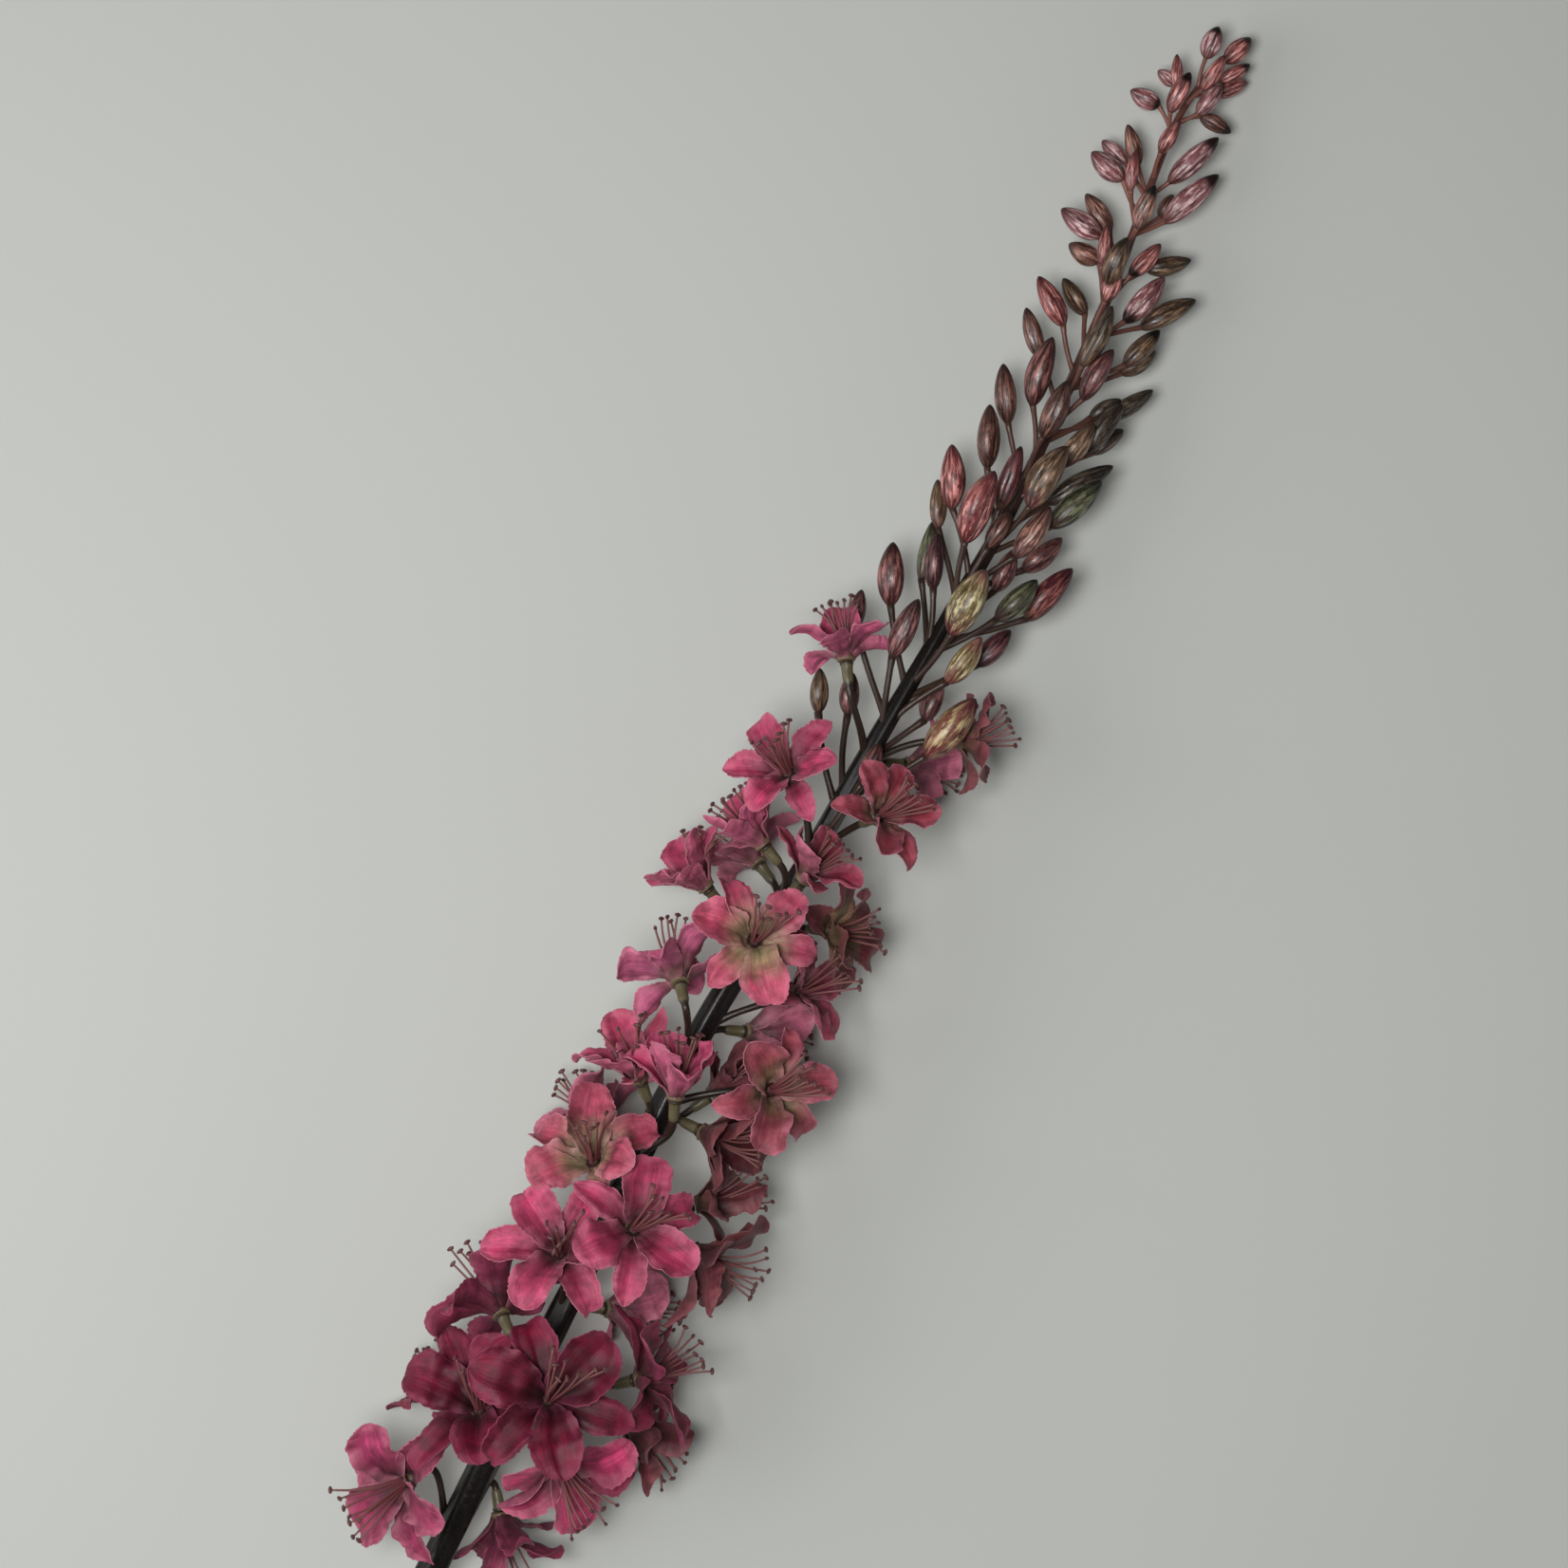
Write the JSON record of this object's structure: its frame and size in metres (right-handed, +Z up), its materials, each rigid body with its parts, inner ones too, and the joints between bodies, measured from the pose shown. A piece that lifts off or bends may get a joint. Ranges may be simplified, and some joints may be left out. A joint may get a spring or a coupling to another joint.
{
  "type": "artificial foxtail lily flower spike",
  "caption": "Long arched flower spike laid on its side: open star-shaped blooms with stamens around a dark stalk, ridged buds towards the tip, cut stem at the foot.",
  "frame": {"origin": "on the surface that the spike lies on, below the middle of its outline seen from above", "axes": "+X along the spike from its cut end to its tip, +Z up off the surface"},
  "size_m": [0.625, 0.0884, 0.0765],
  "materials": {
    "moulded_stem": "moulded polyethylene, dark olive brown, waxy sheen",
    "petals_pink": "dyed and pressed polyester cloth, bright pink with paler edges",
    "petals_crimson": "dyed and pressed polyester cloth, dark crimson with pink edges",
    "petals_dusty": "dyed and pressed polyester cloth, dusty salmon pink"
  },
  "bodies": {
    "root": {"stem_with_buds": "moulded_stem", "bloom_01": "petals_pink", "bloom_02": "petals_crimson", "bloom_03": "petals_pink", "bloom_04": "petals_pink", "bloom_05": "petals_pink", "bloom_06": "petals_pink", "bloom_07": "petals_pink", "bloom_08": "petals_pink", "bloom_09": "petals_pink", "bloom_10": "petals_pink", "bloom_11": "petals_pink", "bloom_12": "petals_pink", "bloom_13": "petals_crimson", "bloom_14": "petals_crimson", "bloom_15": "petals_pink", "bloom_16": "petals_crimson", "bloom_17": "petals_pink", "bloom_18": "petals_dusty", "bloom_19": "petals_dusty", "bloom_20": "petals_pink", "bloom_21": "petals_pink", "bloom_22": "petals_pink", "bloom_23": "petals_dusty", "bloom_24": "petals_dusty", "bloom_25": "petals_dusty", "bloom_26": "petals_pink", "bloom_27": "petals_dusty", "bloom_28": "petals_crimson", "bloom_29": "petals_dusty", "bloom_30": "petals_crimson", "bloom_31": "petals_pink", "bloom_32": "petals_pink", "bloom_33": "petals_pink", "bloom_34": "petals_pink", "bloom_35": "petals_pink"}
  },
  "joints": []
}
